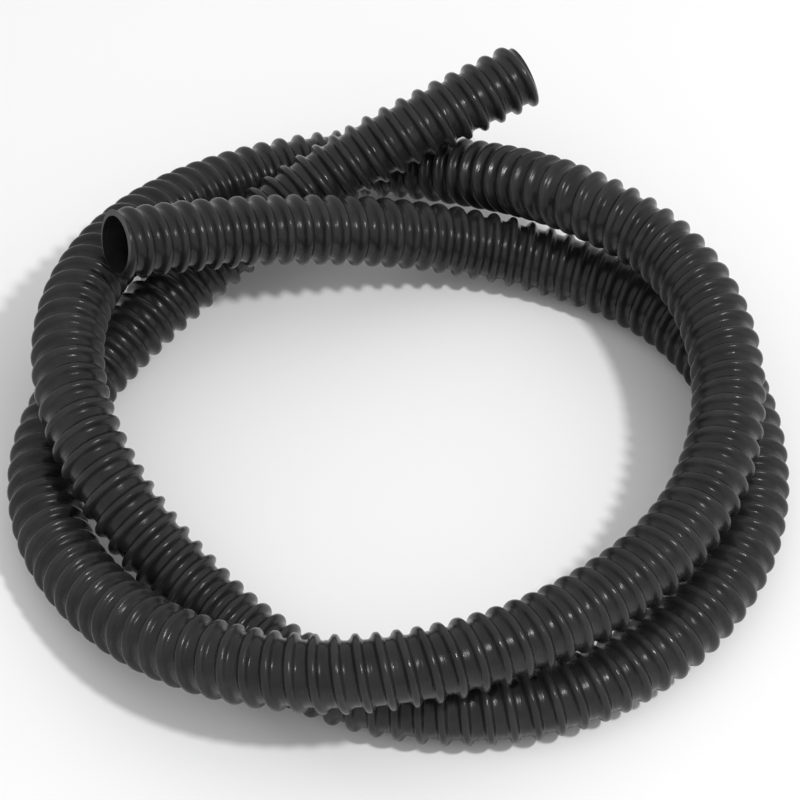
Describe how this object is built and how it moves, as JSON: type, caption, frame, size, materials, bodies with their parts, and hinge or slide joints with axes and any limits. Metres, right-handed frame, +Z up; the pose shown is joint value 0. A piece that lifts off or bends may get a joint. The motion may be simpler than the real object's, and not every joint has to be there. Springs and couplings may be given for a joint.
{
  "type": "spiral vacuum hose",
  "caption": "Flexible spiral-ribbed plastic vacuum hose with plain cut ends, lying loosely coiled in two overlapping turns.",
  "frame": {"origin": "on the floor, below the middle of the coil's outline", "axes": "+Z up, +X to the right and +Y away from the viewer, who sees the coil from the front (-Y) and above; end A points to +X at the back, end B to -X"},
  "size_m": [0.5101, 0.5321, 0.1351],
  "materials": {
    "hose_wall": "satin charcoal flexible PVC",
    "spiral_rib": "semi-gloss charcoal rigid PVC"
  },
  "bodies": {
    "coil": {"wall_flex_a_lift": "hose_wall", "rib_flex_a_lift": "spiral_rib", "wall_coil_01": "hose_wall", "rib_coil_01": "spiral_rib", "wall_coil_02": "hose_wall", "rib_coil_02": "spiral_rib", "wall_coil_03": "hose_wall", "rib_coil_03": "spiral_rib", "wall_coil_04": "hose_wall", "rib_coil_04": "spiral_rib", "wall_coil_05": "hose_wall", "rib_coil_05": "spiral_rib", "wall_coil_06": "hose_wall", "rib_coil_06": "spiral_rib", "wall_coil_07": "hose_wall", "rib_coil_07": "spiral_rib", "wall_coil_08": "hose_wall", "rib_coil_08": "spiral_rib", "wall_coil_09": "hose_wall", "rib_coil_09": "spiral_rib", "wall_coil_10": "hose_wall", "rib_coil_10": "spiral_rib", "wall_coil_11": "hose_wall", "rib_coil_11": "spiral_rib", "wall_coil_12": "hose_wall", "rib_coil_12": "spiral_rib", "wall_coil_13": "hose_wall", "rib_coil_13": "spiral_rib", "wall_coil_14": "hose_wall", "rib_coil_14": "spiral_rib", "wall_coil_15": "hose_wall", "rib_coil_15": "spiral_rib", "wall_coil_16": "hose_wall", "rib_coil_16": "spiral_rib", "wall_coil_17": "hose_wall", "rib_coil_17": "spiral_rib", "wall_coil_18": "hose_wall", "rib_coil_18": "spiral_rib", "wall_coil_19": "hose_wall", "rib_coil_19": "spiral_rib", "wall_coil_20": "hose_wall", "rib_coil_20": "spiral_rib", "wall_flex_b_lift": "hose_wall", "rib_flex_b_lift": "spiral_rib"},
    "tail_a_base": {"wall_flex_a_swing": "hose_wall", "rib_flex_a_swing": "spiral_rib", "wall_link_a": "hose_wall", "rib_link_a": "spiral_rib"},
    "tail_a_end": {"wall_end_a": "hose_wall", "rib_end_a": "spiral_rib"},
    "tail_b_base": {"wall_link_b": "hose_wall", "rib_link_b": "spiral_rib", "wall_flex_b_curl": "hose_wall", "rib_flex_b_curl": "spiral_rib"},
    "tail_b_end": {"wall_end_b": "hose_wall", "rib_end_b": "spiral_rib"}
  },
  "joints": [
    {"name": "tail_a_lift", "type": "hinge", "parent": "coil", "child": "tail_a_base", "pos_m": [-0.08169, 0.16658, 0.04977], "axis": [0.5548, -0.832, 0], "range_deg": [0, 25], "stiffness_Nm_per_rad": 2, "deforming": ["wall_flex_a_lift", "rib_flex_a_lift"]},
    {"name": "tail_a_swing", "type": "hinge", "parent": "tail_a_base", "child": "tail_a_end", "pos_m": [0.00306, 0.20758, 0.07959], "axis": [0, 0, 1], "range_deg": [-10, 20], "stiffness_Nm_per_rad": 2, "deforming": ["wall_flex_a_swing", "rib_flex_a_swing"]},
    {"name": "tail_b_lift", "type": "hinge", "parent": "coil", "child": "tail_b_base", "pos_m": [0.0416, 0.14449, 0.0378], "axis": [-0.0828, 0.9966, 0], "range_deg": [0, 30], "stiffness_Nm_per_rad": 2, "deforming": ["wall_flex_b_lift", "rib_flex_b_lift"]},
    {"name": "tail_b_curl", "type": "hinge", "parent": "tail_b_base", "child": "tail_b_end", "pos_m": [-0.0971, 0.10844, 0.08659], "axis": [-0.3262, 0.9453, 0], "range_deg": [0, 30], "stiffness_Nm_per_rad": 2, "deforming": ["wall_flex_b_curl", "rib_flex_b_curl"]}
  ]
}
